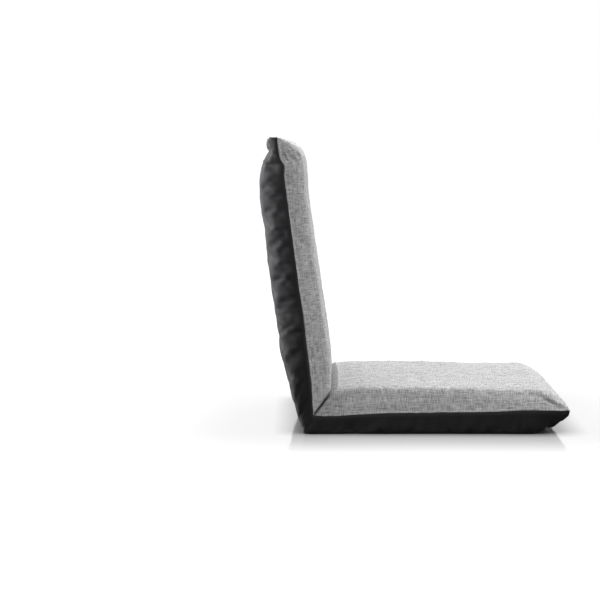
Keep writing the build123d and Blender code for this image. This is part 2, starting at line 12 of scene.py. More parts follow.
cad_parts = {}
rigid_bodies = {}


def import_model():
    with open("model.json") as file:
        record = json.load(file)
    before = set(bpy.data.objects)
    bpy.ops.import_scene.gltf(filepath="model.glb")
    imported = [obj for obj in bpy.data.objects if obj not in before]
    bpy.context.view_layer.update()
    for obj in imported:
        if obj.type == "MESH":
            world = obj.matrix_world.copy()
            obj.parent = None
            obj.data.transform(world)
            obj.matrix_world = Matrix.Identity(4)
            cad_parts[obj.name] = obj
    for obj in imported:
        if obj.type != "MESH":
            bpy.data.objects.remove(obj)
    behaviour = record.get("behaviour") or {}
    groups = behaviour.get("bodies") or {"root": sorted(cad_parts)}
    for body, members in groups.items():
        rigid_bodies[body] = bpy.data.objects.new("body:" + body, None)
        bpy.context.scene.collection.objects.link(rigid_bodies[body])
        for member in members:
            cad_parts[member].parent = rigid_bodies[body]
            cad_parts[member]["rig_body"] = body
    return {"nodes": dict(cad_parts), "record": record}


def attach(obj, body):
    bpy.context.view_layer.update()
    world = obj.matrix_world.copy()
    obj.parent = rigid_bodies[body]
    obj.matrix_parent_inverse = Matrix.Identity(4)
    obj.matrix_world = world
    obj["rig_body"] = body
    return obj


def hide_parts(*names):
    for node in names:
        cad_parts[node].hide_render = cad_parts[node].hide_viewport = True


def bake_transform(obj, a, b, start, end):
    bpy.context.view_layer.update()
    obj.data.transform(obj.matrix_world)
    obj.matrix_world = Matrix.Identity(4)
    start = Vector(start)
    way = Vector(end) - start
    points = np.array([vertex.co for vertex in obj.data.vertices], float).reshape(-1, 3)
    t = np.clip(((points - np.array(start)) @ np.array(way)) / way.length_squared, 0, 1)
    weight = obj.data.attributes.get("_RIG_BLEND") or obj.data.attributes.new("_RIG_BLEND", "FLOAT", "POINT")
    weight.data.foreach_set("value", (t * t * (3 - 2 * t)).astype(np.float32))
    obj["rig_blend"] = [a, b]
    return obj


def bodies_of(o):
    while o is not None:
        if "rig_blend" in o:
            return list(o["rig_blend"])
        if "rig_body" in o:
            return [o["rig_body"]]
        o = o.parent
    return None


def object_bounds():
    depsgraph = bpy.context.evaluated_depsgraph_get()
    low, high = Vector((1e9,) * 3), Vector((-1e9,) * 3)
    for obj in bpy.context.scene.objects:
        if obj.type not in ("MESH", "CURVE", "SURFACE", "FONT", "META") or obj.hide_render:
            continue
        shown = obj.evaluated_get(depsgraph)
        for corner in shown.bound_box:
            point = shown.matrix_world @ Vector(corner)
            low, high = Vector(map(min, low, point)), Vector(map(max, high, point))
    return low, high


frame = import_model()
CAD_LOW, CAD_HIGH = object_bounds()

bl_info = {
    "name": "Folding floor chair",
    "version": (1, 0, 0),
    "blender": (4, 5, 0),
    "location": "3D View > Sidebar > Floor chair",
    "description": "Covers, padding, hinge finishes and studio for a folding floor chair",
    "category": "Object",
}

MM = 0.001


# ---------------------------------------------------------------- settings

def length_setting(name, description, default):
    return bpy.props.FloatProperty(name=name, description=description, default=default, unit="LENGTH")


def number_setting(name, description, default):
    return bpy.props.FloatProperty(name=name, description=description, default=default)


def angle_setting(name, description, degrees):
    return bpy.props.FloatProperty(name=name, description=description,
                                   default=math.radians(degrees), subtype="ANGLE")


def colour_setting(name, description, default):
    return bpy.props.FloatVectorProperty(name=name, description=description, default=default,
                                         size=3, subtype="COLOR")


class ChairSizes(bpy.types.PropertyGroup):
    """Sizes of the padded panels, in the chair's own frame"""
    seam_height: length_setting("Seam height", "Seam and hinge axis above the floor", 0.047)
    half_width: length_setting("Half width", "Middle of the chair to the side seam at a corner", 0.260)
    seat_length: length_setting("Seat length", "Hinge axis to the seam at the front of the seat", 0.530)
    back_length: length_setting("Back length", "Hinge axis to the seam at the top of the back", 0.565)
    back_angle: angle_setting("Back angle", "Between seat and back when upright", 97)
    flat_turn: angle_setting("Turn to flat", "How far the back turns from upright to flat", 83)
    crown: length_setting("Crown", "Middle of the padded face above the seam", 0.0475)
    belly: length_setting("Belly", "Deepest part of the back below its seam", 0.052)
    draw_in: length_setting("Seam draw-in", "How far a side seam pulls in between its corners", 0.005)
    crease_shift: length_setting("Crease shift", "Crease from the mitre plane, towards the seat", 0.0085)
    heel_radius: length_setting("Heel radius", "Hinge axis to the black cloth outside the fold", 0.0425)
    under_bulge: length_setting("Underside bulge", "How far the black side bellies out", 0.011)
    mesh_step: length_setting("Mesh step", "Between two rows of a cover", 0.0038)
    slack_step: length_setting("Slack step", "Between two rows of the simulated cloth", 0.009)
    slack_grey: number_setting("Grey slack", "How much larger the grey cloth is than its filling", 0.006)
    slack_black: number_setting("Black slack", "How much larger the black cloth is than its filling", 0.038)
    rest_grey: number_setting("Grey rest", "How much the filling holds the grey cloth", 0.42)
    rest_black: number_setting("Black rest", "How much the filling holds the black cloth", 0.20)
    cloth: length_setting("Cloth thickness", "Cover with its lining", 0.0015)


class ClothLook(bpy.types.PropertyGroup):
    """Colours and weave of the two fabrics"""
    pale_yarn: colour_setting("Pale yarn", "Light fibres of the melange", (0.62, 0.62, 0.62))
    dark_yarn: colour_setting("Dark yarn", "Dark fibres of the melange", (0.16, 0.16, 0.165))
    black_cloth: colour_setting("Black cloth", "Smooth cloth of the underside", (0.0145, 0.0145, 0.0154))
    yarn_pitch: length_setting("Yarn pitch", "Between two yarns of the grey cloth", 0.0011)


class StudioLook(bpy.types.PropertyGroup):
    """Camera and floor"""
    lens: number_setting("Lens", "Focal length on a 36 mm sensor", 117.5)
    camera_place: bpy.props.FloatVectorProperty(
        name="Camera place", description="Where the camera stands", unit="LENGTH",
        default=(-0.006, -4.24, 0.658), size=3)
    camera_dip: angle_setting("Camera dip", "How far the camera looks down", 5.484)
    camera_turn: angle_setting("Camera turn", "How far the camera looks to the left", 0.263)
    gloss: number_setting("Floor gloss", "Strength of the mirror in the floor", 1.0)
    gloss_reach: length_setting("Gloss reach", "How far from the chair the floor still mirrors it", 0.25)


# ---------------------------------------------------------------- shaders

class Value:
    """A value in a material. Arithmetic on it adds Math nodes."""

    def __init__(self, finish, socket):
        self.finish, self.socket = finish, socket

    def math(self, operation, *others):
        return self.finish.node("ShaderNodeMath", (self,) + others, operation=operation)

    def __add__(self, other):
        return self.math("ADD", other)

    def __mul__(self, other):
        return self.math("MULTIPLY", other)

    def __sub__(self, other):
        return self.math("SUBTRACT", other)

    def __truediv__(self, other):
        return self.math("DIVIDE", other)

    def __rsub__(self, other):
        return self.finish.node("ShaderNodeMath", (other, self), operation="SUBTRACT")

    __radd__ = __add__
    __rmul__ = __mul__

    def clamp(self):
        return self.finish.node("ShaderNodeClamp", (self,))


class Finish:
    """A node tree that is being put together, for a material or for the world."""

    def __init__(self, name, kind="materials"):
        self.owner = getattr(bpy.data, kind).new(name)
        self.owner.use_nodes = True
        self.tree = self.owner.node_tree
        self.tree.nodes.clear()

    def node(self, kind, inputs=(), output=0, **settings):
        """Add a node: its settings first, then its sockets by order or by name."""
        node = self.tree.nodes.new(kind)
        for key, value in settings.items():
            setattr(node, key, value)
        pairs = inputs.items() if isinstance(inputs, dict) else enumerate(inputs)
        for key, value in pairs:
            socket = node.inputs[key]
            if isinstance(value, Value):
                self.tree.links.new(value.socket, socket)
            elif socket.type == "RGBA" and len(value) == 3:
                socket.default_value = (*value, 1)
            else:
                socket.default_value = value
        return Value(self, node.outputs[output])

    def split(self, vector):
        """The three parts of a vector."""
        first = self.node("ShaderNodeSeparateXYZ", (vector,))
        return [Value(self, part) for part in first.socket.node.outputs]

    def place(self):
        """Where a point lies in the chair's frame."""
        return self.node("ShaderNodeTexCoord", output="Object")

    def cut(self):
        """Where a point lies in the flat cloth: along its panel, and round its section."""
        return self.split(self.node("ShaderNodeUVMap", uv_map="cut"))[:2]

    def noise(self, vector, scale, detail=2.0, roughness=0.5):
        return self.node("ShaderNodeTexNoise", {
            "Vector": vector, "Scale": scale, "Detail": detail, "Roughness": roughness})

    def vector(self, x, y, z=0.0):
        return self.node("ShaderNodeCombineXYZ", (x, y, z))

    def patches(self, x, y, scales, seed, detail, roughness):
        """Noise with a scale of its own along the cloth and round it."""
        return self.noise(self.vector(x * scales[0], y * scales[1], seed), 1.0, detail, roughness)

    def mix(self, factor, first, second):
        """Colour mix."""
        return self.node("ShaderNodeMix", {0: factor, 6: first, 7: second},
                         output=2, data_type="RGBA")

    def bump(self, height, distance, strength):
        return self.node("ShaderNodeBump", {
            "Height": height, "Distance": distance, "Strength": strength})

    def surface(self, shader):
        kind = "World" if isinstance(self.owner, bpy.types.World) else "Material"
        out = self.tree.nodes.new("ShaderNodeOutput" + kind)
        self.tree.links.new(shader.socket, out.inputs["Surface"])
        return self.owner

    def principled(self, **sockets):
        named = {key.replace("_", " "): value for key, value in sockets.items()}
        return self.surface(self.node("ShaderNodeBsdfPrincipled", named))


# the fabrics' noise, in changes per metre along the panel and round it
YARN_SHADE = 70.0
YARN_APART = 7.31  # from one yarn to the next
WARP_SLUB = (500.0, 55.0)
WEFT_SLUB = (45.0, 560.0)
STREAK = (6.0, 110.0)
TWILL = 1400.0
CLOUD = (14.0, 14.0)
FUZZ = (900.0, 900.0)
YARN_GAP_SHADE = (0.10, 0.10, 0.10)  # painted shade between two yarns
WORN, PAINTED_LIGHT_PALER = 1.9, 3.2  # how much paler the black cloth gets in places, and how much paler it is painted at the top of the back, as painted light
PAINTED_LIGHT_PER_METRE = 1.3  # how fast the painted light grows, per metre up the back


def melange_cloth():
    """Linen-look weave of pale and dark yarns, laid out by the cut of the cloth."""
    look = bpy.context.scene.cloth_look
    cloth = Finish("melange cloth")
    x, y = cloth.cut()
    across = x / look.yarn_pitch
    along = y / look.yarn_pitch
    warp_number, weft_number = across.math("FLOOR"), along.math("FLOOR")
    # each yarn changes shade along itself
    warp = cloth.vector(warp_number * YARN_APART, y * YARN_SHADE)
    weft = cloth.vector(x * YARN_SHADE, weft_number * YARN_APART, 40.0)
    warp_shade, weft_shade = (cloth.noise(yarn, 1.0, 2.0, 0.6) for yarn in (warp, weft))
    # slubs: thick places, several yarns wide
    warp_slub = cloth.patches(x, y, WARP_SLUB, 9.0, 1.0, 0.4)
    weft_slub = cloth.patches(x, y, WEFT_SLUB, 3.0, 1.0, 0.4)
    over = ((warp_number + weft_number) / 2.0).math("FRACT").math("GREATER_THAN", 0.25)
    warp_round = (across.math("FRACT") * math.pi).math("SINE")
    weft_round = (along.math("FRACT") * math.pi).math("SINE")
    shade = warp_shade * over + weft_shade * (1.0 - over)
    slub = warp_slub * 0.55 + weft_slub * 0.55
    height = warp_round * over + weft_round * (1.0 - over)
    streak = cloth.patches(x, y, STREAK, 5.0, 2.0, 0.5)
    tone = ((shade - 0.5) * 1.1 + (slub - 0.55) * 2.3 + (streak - 0.5) * 0.6 + 0.57).clamp()
    # the yarns are painted darker towards their edges: painted shade between two yarns
    gap = (height * 0.5 + 0.5).clamp()
    colour = cloth.mix(tone, tuple(look.dark_yarn), tuple(look.pale_yarn))
    colour = cloth.mix(gap, YARN_GAP_SHADE, colour)
    fine = cloth.bump(height + slub * 1.2, 0.00035, 0.8)
    return cloth.principled(Base_Color=colour, Roughness=0.92, Sheen_Weight=0.10,
                            Sheen_Roughness=0.5, Specular_IOR_Level=0.06, Normal=fine)


def black_cloth():
    """Smooth, dense woven polyester."""
    black = tuple(bpy.context.scene.cloth_look.black_cloth)
    worn, painted_light_colour = (tuple(c * paler for c in black) for paler in (WORN, PAINTED_LIGHT_PALER))
    cloth = Finish("black cloth")
    x, y = cloth.cut()
    rib = (((x + y) * TWILL).math("FRACT") * math.pi).math("SINE")
    cloud = cloth.patches(x, y, CLOUD, 0.0, 3.0, 0.6)
    fuzz = cloth.patches(x, y, FUZZ, 0.0, 1.0, 0.5)
    colour = cloth.mix((cloud * 0.5 + fuzz * 0.3).clamp(), black, worn)
    # painted light: the black cloth is painted paler towards the top of the back, where more light falls on it
    colour = cloth.mix((x * -PAINTED_LIGHT_PER_METRE).clamp(), colour, painted_light_colour)
    rough = (cloud * 0.2 + 0.52).clamp()
    return cloth.principled(Base_Color=colour, Roughness=rough, Sheen_Weight=0.04,
                            Sheen_Roughness=0.3, Specular_IOR_Level=0.06,
                            Normal=cloth.bump(rib + fuzz, 0.00012, 0.5))


# ---------------------------------------------------------------- cloth shapes

def knots(x, table):
    """Smooth curve through a table of (distance in mm, value), level beyond its ends."""
    at = np.array([row[0] for row in table], float) * MM
    value = np.array([row[1] for row in table], float)
    slope = np.gradient(value, at)
    step = np.diff(value) / np.diff(at)
    for i in range(len(value)):
        near = step[max(i - 1, 0):i + 1] if i < len(step) else step[-1:]
        if len(near) > 1 and near[0] * near[1] <= 0:
            slope[i] = 0.0
        else:
            limit = 3 * np.min(np.abs(near))
            slope[i] = np.clip(slope[i], -limit, limit)
    x = np.clip(x, at[0], at[-1])
    i = np.clip(np.searchsorted(at, x) - 1, 0, len(at) - 2)
    width = at[i + 1] - at[i]
    t = (x - at[i]) / width
    return ((2 * t ** 3 - 3 * t ** 2 + 1) * value[i] + (t ** 3 - 2 * t ** 2 + t) * width * slope[i]
            + (3 * t ** 2 - 2 * t ** 3) * value[i + 1] + (t ** 3 - t ** 2) * width * slope[i + 1])


def step_up(x, low, high):
    """0 below low, 1 above high, smooth between."""
    t = np.clip((x - low) / (high - low), 0.0, 1.0)
    return t * t * (3 - 2 * t)


def pillow(side, end, fullness):
    """Joins the rise from a side seam with the rise from an end seam at a corner."""
    side, end = np.maximum(side, 1e-4), np.maximum(end, 1e-4)
    return (side ** -fullness + end ** -fullness - 1) ** (-1 / fullness)


def press(depth, limit, hardness):
    """A depth that something at the limit presses back, softly where it is less hard."""
    return (depth ** -hardness + limit ** -hardness) ** (-1 / hardness)


def fold_section(across, ridge_width):
    """A groove with a soft ridge beside it, in widths of the groove."""
    return 0.55 * np.exp(-((across - 1.8) / ridge_width) ** 2) - np.exp(-across ** 2)


def normals(points):
    """Unit normals of a grid of points."""
    normal = np.cross(np.gradient(points, axis=0), np.gradient(points, axis=1))
    return normal / (np.linalg.norm(normal, axis=2, keepdims=True) + 1e-12)


def girths(steps):
    """Distances from the first column of a grid, from the steps between its columns."""
    return np.concatenate([np.zeros((len(steps), 1)), np.cumsum(steps, axis=1)], axis=1)


def ripple(u, y, wavelength, seed, count=7):
    """Soft uneven surface between about -1 and 1."""
    rng = np.random.default_rng(seed)
    total = np.zeros(np.broadcast(u, y).shape)
    for _ in range(count):
        turn = rng.uniform(0, 2 * math.pi)
        wave = 2 * math.pi / (wavelength * rng.uniform(0.7, 1.6))
        phase = rng.uniform(0, 2 * math.pi)
        total += np.sin(wave * (u * math.cos(turn) + y * math.sin(turn)) + phase)
    return total / count ** 0.5 / 1.4


# how the grey cloth rises: distance from the seam in mm, share of the crown
FACE_SIDE = ((0, 0), (2.4, 0.035), (5, 0.10), (12, 0.285), (20, 0.48), (28, 0.66), (33, 0.765),
             (38, 0.84), (44, 0.885), (54, 0.915), (80, 0.945), (120, 0.965), (180, 0.985), (260, 1.0))
SEAT_FACE_END = ((0, 0), (1.0, 0.06), (3, 0.15), (8, 0.29), (18, 0.49), (27, 0.64), (36, 0.79),
                 (45, 0.91), (54, 0.975), (68, 1.0), (120, 1.0))
BACK_FACE_END = ((0, 0), (1.2, 0.06), (5, 0.24), (11, 0.47), (23, 0.78), (36, 0.94), (50, 1.0),
                 (70, 1.02), (120, 1.0))
# how deep the black cloth goes, as a share of its belly
BACK_UNDER_SIDE = ((0, 0), (1.0, 0.10), (3, 0.27), (7, 0.48), (12, 0.66), (17, 0.78), (23, 0.87),
                   (31, 0.925), (60, 0.95), (140, 0.985), (260, 1.0))
SEAT_UNDER_SIDE = ((0, 0), (0.8, 0.14), (2.0, 0.38), (3.6, 0.60), (5.5, 0.76), (8, 0.875),
                   (12, 0.955), (18, 0.985), (60, 0.995), (260, 1.0))
SEAT_UNDER_END = ((0, 0), (1.5, 0.12), (5.5, 0.27), (14.5, 0.45), (21, 0.51), (35, 0.68),
                  (47, 0.72), (54, 0.8), (65, 0.93), (78, 1.04), (120, 1.06))
BACK_UNDER_END = ((0, 0), (2, 0.07), (8, 0.18), (16, 0.31), (25, 0.43), (43, 0.68), (61, 0.85),
                  (80, 0.96), (120, 1.0))
# the same at the top corners, where the cloth is gathered to an ear
EAR_END = ((0, 0), (0.3, 0.13), (0.8, 0.25), (2.5, 0.37), (5.5, 0.465), (9, 0.51), (13, 0.505),
           (18, 0.47), (27, 0.43), (34, 0.47), (43, 0.66), (61, 0.85), (80, 0.96), (120, 1.0))
# depth of the back's underside from the fold upwards, as a share of its belly
BACK_HEEL = ((-12, 0.485), (0, 0.555), (30, 0.66), (55, 0.72), (77, 0.775), (117, 0.90),
             (150, 0.94), (200, 0.985), (230, 1.0))

# how far the side seams leave their plane: distance along the panel, mm towards the face
SEAT_SEAM = ((11, -9.0), (20, -10.5), (50, -11.5), (90, -9), (140, -6), (220, -5), (300, -3.5),
             (380, -2), (450, 0.5), (530, 0.5))
BACK_SEAM = ((-12, 2.3), (10, 3), (47, 5), (100, 6), (195, 6), (250, 4.5), (343, 4), (441, 2.5),
             (500, 2.5), (565, 0))
EAR_SEAM = ((0, -3), (10, -3), (25, -3.5), (43, -4), (51, -0.5), (59, 3.0), (75, 1), (100, 0))
# and the padded faces
SEAT_BOW = ((0, 0), (60, 2), (240, 1.5), (320, -0.5), (430, -3.2), (475, -3.2), (530, 0))
BACK_BOW = ((-12, 2.3), (47, 5), (125, 6), (228, 3), (351, 0), (430, -1.5), (500, 1), (540, 1.5),
            (565, 0))
TOP_SAG = 9.0  # mm that the top of the back falls away from its near corner

# folds that run out from a corner: bearing in radians, reach, width and depth in mm
CORNER_FOLDS = {
    ("seat", "grey"): ((0.16, 60, 2.6, 1.2), (0.40, 90, 3.2, 2.6), (0.72, 65, 3.5, 1.4),
                       (1.1, 80, 3.5, 1.9), (1.38, 65, 2.8, 1.3)),
    ("seat", "black"): ((0.25, 60, 3.5, 1.2), (0.55, 80, 4.0, 1.8), (0.95, 60, 4.0, 1.4),
                        (1.3, 70, 3.5, 1.6)),
    ("back", "grey"): ((0.2, 75, 2.6, 1.7), (0.42, 95, 3.0, 2.3), (0.68, 85, 3.0, 1.9),
                       (0.95, 95, 3.2, 2.3), (1.25, 80, 3.0, 1.9), (1.44, 65, 2.6, 1.2)),
    ("back", "black"): ((0.3, 60, 3.5, 1.4), (0.62, 85, 4.0, 2.0), (1.0, 70, 4.0, 1.8),
                        (1.32, 80, 3.5, 1.6)),
}
FAR_TURN = 0.06  # radians that the far corners' folds are turned from the near ones'

# soft steps of the shapes: where each begins and ends
EAR_WIDTH = (0.025, 0.085)  # from the side seam
HEEL_CHANGE = (0.03, 0.18)  # up the back: from the heel's section to the back's
LEANING = (0.016, 0.17)  # from the crease: the sections stop leaning towards it
SAGGING = (0.0, 0.11)  # across the back from its near side
GROOVE_WIDTH = (0.0004, 0.0026)  # from the crease: the grey cloth's end turns in
GROOVE_DEPTH = (-0.006, 0.004)  # out from the hinge axis
GROOVE_IN = 0.015  # how far the grey cloth's end turns in
FOLD_REACH = 0.06  # the fold shapes the cloth up to here
HEEL_SLOPE = 0.58  # of the black cloth away from its heel
FACE_FULLNESS, UNDER_FULLNESS = 1.5, 2.0  # how square the cushions' corners are
FLOOR_PRESS, HEEL_PRESS = 30, 12  # how hard the black cloth is pressed
SEAM_ROLL = 0.0012  # cloth that rolls into a seam
SEAM_WANDER = 0.5  # mm
EAR_LIFT = 0.0035

# rows and columns of a cover: mm from the crease, the free end and the side seam
BAND = 4.0 * MM  # half width of the cloth that turns at the fold
BAND_ROWS = (0.0, 0.3, 0.6, 0.9, 1.2, 1.55, 1.9, 2.3, 2.8, 3.4, 4.0)
AFTER_BAND = (4.9, 6.2, 8.0, 10.2, 13.0)
END_ROWS = (26, 22, 18.5, 15.5, 12.8, 10.4, 8.2, 6.4, 4.9, 3.6, 2.6, 1.8, 1.2, 0.75, 0.4, 0.15, 0.0)
EDGE_COLUMNS = (0, 1.0, 2.4, 3.9, 5.6, 7.4, 9.4, 11.6, 14.0, 16.6, 19.4, 22.4, 25.6)
# the same on the coarser grid on which the cloth is simulated
SLACK_NEAR = (0, 2.0, 4.5, 8.0, 13.0)
SLACK_END = (20, 12, 6, 2.5, 0)
SLACK_EDGE = {"grey": (0, 3, 8, 14, 21, 28, 35, 43), "black": (0, 0.8, 2, 3.6, 6, 10, 17, 25)}

SLACK_FRAMES = 20
SLACK_LIMIT = 4.0 * MM  # no point moves further
SLACK_CLOTH = {"quality": 6, "mass": 0.2, "tension_stiffness": 20, "compression_stiffness": 20,
               "shear_stiffness": 6, "bending_stiffness": 0.05, "pin_stiffness": 1.0,
               "use_pressure": True, "uniform_pressure_force": 4.0}
HELD_EDGE = 0.002  # cloth that is held at a seam, and above the floor
HELD_FOLD = {"grey": 0.014, "black": 0.045}  # at the crease, and the black near the hinges
HELD_EAR = (0.018, 0.03)  # from the free end and from the side seam
UNEVEN = {"grey": 0.45, "black": 1.0}  # share of the filling's unevenness
SEEDS = {"grey": 11, "black": 31}


def panel_rows(panel, step, near, end):
    """Places along a panel, close together beside the crease and at the free end."""
    sizes = bpy.context.scene.chair_sizes
    mitre = math.sin(sizes.back_angle / 2)
    start = sizes.crease_shift / mitre
    if panel == "back":
        start = -start
    length = sizes.seat_length if panel == "seat" else sizes.back_length
    first = [start + gap * MM / mitre for gap in near]
    last = [length - gap * MM for gap in end]
    count = int(round((last[0] - first[-1]) / step))
    return np.array(first + list(np.linspace(first[-1], last[0], count + 1)[1:-1]) + last)


def panel_columns(step, edge):
    """Places across a panel, from one side seam to the other."""
    half = bpy.context.scene.chair_sizes.half_width
    edge = np.array(edge) * MM
    count = int(round((2 * half - 2 * edge[-1]) / step))
    middle = np.linspace(-half + edge[-1], half - edge[-1], count + 1)[1:-1]
    return np.concatenate([-half + edge, middle, half - edge[::-1]])


def fold_height(distance, shift, share):
    """How far out from the hinge axis the grey cloth stands, at a distance from the
    mitre plane, so that it lies level once the chair is flat."""
    sizes = bpy.context.scene.chair_sizes
    mitre = sizes.back_angle / 2
    t = np.clip((BAND - (distance - shift)) / (2 * BAND), 0, 1)
    turn = sizes.flat_turn * t * t * (3 - 2 * t)
    level = (share * sizes.crown + math.cos(mitre) * distance) / math.sin(mitre)
    out = np.minimum(level, sizes.crown)
    for _ in range(30):
        angle = mitre - np.arctan2(distance, out) + turn
        wanted = share * sizes.crown / np.sin(angle)
        out = np.sqrt(np.maximum(wanted ** 2 - distance ** 2, 1e-8))
    return np.where(distance - shift < BAND, out, level)


class Patch:
    """One cover on one panel: a grid of places, with each point's distances from
    the seams, the free end and the crease."""

    def __init__(self, panel, face, rows, across):
        sizes = bpy.context.scene.chair_sizes
        self.panel, self.face = panel, face
        self.length = sizes.seat_length if panel == "seat" else sizes.back_length
        self.shift = sizes.crease_shift if panel == "seat" else -sizes.crease_shift
        self.mitre = sizes.back_angle / 2
        self.start = self.shift / math.sin(self.mitre)
        self.place, y = np.meshgrid(rows, across, indexing="ij")
        t = np.clip((self.place - self.start) / (self.length - self.start), 0, 1)
        half = sizes.half_width - sizes.draw_in * 4 * t * (1 - t)
        self.y = y * half / sizes.half_width
        self.side_gap = np.maximum(half - np.abs(self.y), 0)
        self.end_gap = np.maximum(self.length - self.place, 0)
        self.seam_gap = np.minimum(self.side_gap, self.end_gap)
        self.crease_gap = (self.place - self.start) * math.sin(self.mitre)
        self.corner = np.hypot(self.side_gap, self.end_gap)
        self.bearing = np.arctan2(self.side_gap, self.end_gap)

    def face_height(self):
        """Grey cloth above the seam plane."""
        sizes = bpy.context.scene.chair_sizes
        end = SEAT_FACE_END if self.panel == "seat" else BACK_FACE_END
        side = knots(self.side_gap, FACE_SIDE)
        return sizes.crown * pillow(side, knots(self.end_gap, end), FACE_FULLNESS)

    def under_depth(self):
        """Black cloth below the seam plane."""
        sizes = bpy.context.scene.chair_sizes
        side = knots(self.side_gap, SEAT_UNDER_SIDE)
        if self.panel == "seat":
            rise = pillow(side, knots(self.end_gap, SEAT_UNDER_END), UNDER_FULLNESS)
            # the floor presses it flat
            return press(np.maximum(sizes.belly * rise, 1e-6), sizes.seam_height, FLOOR_PRESS)
        apart = step_up(self.place, *HEEL_CHANGE)
        side = side * (1 - apart) + knots(self.side_gap, BACK_UNDER_SIDE) * apart
        ear = 1 - step_up(self.side_gap, *EAR_WIDTH)
        end = knots(self.end_gap, EAR_END) * ear + knots(self.end_gap, BACK_UNDER_END) * (1 - ear)
        return sizes.belly * pillow(side, end, UNDER_FULLNESS) * knots(self.place, BACK_HEEL)

    def corner_folds(self):
        """Gathers of cloth that run out from the corners."""
        field = np.zeros(self.place.shape)
        for bearing, reach, width, depth in CORNER_FOLDS[self.panel, self.face]:
            turned = self.bearing - bearing - np.where(self.y < 0, 0.0, FAR_TURN)
            across = self.corner * np.sin(turned) / (width * MM)
            fades = 1 - step_up(self.corner, 0.35 * reach * MM, reach * MM)
            along = step_up(self.corner, 0.006, 0.02) * fades
            field += depth * MM * along * fold_section(across, 1.5)
        return field * step_up(self.seam_gap, 0.001, 0.006)

    def seam_line(self):
        """How far the seams leave their plane, in mm."""
        line = knots(self.place, SEAT_SEAM if self.panel == "seat" else BACK_SEAM)
        wander = SEAM_WANDER * ripple(self.place, np.sign(self.y) * 0.3, 0.12, 7)
        line = line + wander * step_up(self.crease_gap, 0, 0.03)
        if self.panel == "back":
            line = line + knots(self.end_gap, EAR_SEAM) * (1 - step_up(self.side_gap, 0.03, 0.1))
        return line

    def level_fold(self, distance, out):
        """How far out the grey cloth stands: squeezed near the fold, so that it lies
        level once the chair is flat."""
        sizes = bpy.context.scene.chair_sizes
        share = (0.90 + 0.05 * step_up(self.crease_gap, 0, 0.6 * BAND)
                 + 0.05 * step_up(self.crease_gap, BAND, 0.03))
        flat = (sizes.crown + math.cos(self.mitre) * distance) / math.sin(self.mitre)
        close = self.crease_gap < FOLD_REACH
        squeeze = np.where(close, fold_height(distance, self.shift, share) / flat, 1.0)
        squeeze = squeeze + (1 - squeeze) * step_up(self.crease_gap, 0.03, 0.055)
        return np.where(out > 0, out * squeeze, out)

    def belly_out(self, along, y, height):
        """The side of the black cloth bellies out under its seam, and the ears stand up
        a little."""
        bulge = bpy.context.scene.chair_sizes.under_bulge
        if self.panel == "back":
            ear = (1 - step_up(self.side_gap, *EAR_WIDTH)) * (1 - step_up(self.end_gap, 0.003, 0.02))
            along = along + EAR_LIFT * ear * step_up(-height, 0.004, 0.02)
            bulge = bulge * (1 - 0.7 * step_up(self.place, 0.0, 0.2))
        bulge = bulge * step_up(self.end_gap, 0.02, 0.09)
        rises, fades = step_up(self.side_gap, -0.002, 0.007), 1 - step_up(self.side_gap, 0.01, 0.07)
        return along, y + np.sign(y) * bulge * rises * fades

    def points(self, crease_out=None):
        """Rest places, and how far out the crease is. The seat's crease is brought to
        where the back's is."""
        sizes = bpy.context.scene.chair_sizes
        seat, grey = self.panel == "seat", self.face == "grey"
        sin, cos = math.sin(self.mitre), math.cos(self.mitre)
        height = self.face_height() if grey else -self.under_depth()
        away = np.clip(np.abs(height) / sizes.crown, 0, 1)
        bow = knots(self.place, SEAT_BOW if seat else BACK_BOW) if grey else 0.0
        height = height + (self.seam_line() * (1 - away) + bow * away) * MM

        # lean the sections towards the crease
        lean = 1 - step_up(self.place - self.start, *LEANING)
        along = self.place + height / math.tan(self.mitre) * lean
        if not seat:
            sag = TOP_SAG * MM * step_up(self.y + sizes.half_width, *SAGGING)
            along = along - sag * step_up(self.place, 0.6 * self.length, self.length)
        distance = sin * along - cos * height
        out = cos * along + sin * height
        y = self.y
        if grey:
            out = self.level_fold(distance, out)
            groove = (1 - step_up(self.crease_gap, *GROOVE_WIDTH)) * step_up(out, *GROOVE_DEPTH)
            y = y * (1 - groove * GROOVE_IN / sizes.half_width)
        elif seat:
            heel = sizes.heel_radius + HEEL_SLOPE * self.crease_gap
            pressed = press(np.maximum(-out, 1e-4), heel, HEEL_PRESS)
            out = np.where((out < 0) & (self.crease_gap < FOLD_REACH), -pressed, out)
        if crease_out is not None:
            out = out + (crease_out - out[:1]) * (1 - step_up(self.crease_gap, 0.0, 0.009))
        along = cos * out + sin * distance
        height = sin * out - cos * distance
        self.cut_along, self.cut_height = along, height
        if not grey:
            along, y = self.belly_out(along, y, height)

        # roll the cloth into the seam
        roll = SEAM_ROLL * (1 - step_up(self.seam_gap, 0.0, SEAM_ROLL))
        y = y - np.sign(y) * np.where(self.side_gap <= self.end_gap, roll, 0)
        along = along - np.where(self.end_gap < self.side_gap, roll, 0)

        if seat:
            x, z = along, sizes.seam_height + height
        else:
            sin_b, cos_b = math.sin(sizes.back_angle), math.cos(sizes.back_angle)
            x = along * cos_b + height * sin_b
            z = sizes.seam_height + along * sin_b - height * cos_b
        return np.stack([x, y, z], axis=-1), out[:1]

    def cut(self):
        """Where each point lies in the flat cloth: along the panel, and round it. Its
        points come first."""
        girth = girths(np.hypot(np.diff(self.y, axis=1), np.diff(self.cut_height, axis=1)))
        along = self.cut_along if self.panel == "seat" else -self.cut_along
        return np.stack([along, girth - girth[:, -1:] / 2], axis=-1)


def fold_field(along, across, folds):
    """Relief of separate folds, each with its middle, a turn in radians, and a length,
    width and depth."""
    field = np.zeros(along.shape)
    for middle, aside, turn, long, wide, deep in folds:
        down, over = along - middle, across - aside
        run = (down * math.cos(turn) + over * math.sin(turn)) / long
        gap = (over * math.cos(turn) - down * math.sin(turn)) / wide
        field += deep * np.exp(-run ** 4) * fold_section(gap, 1.6)
    return field


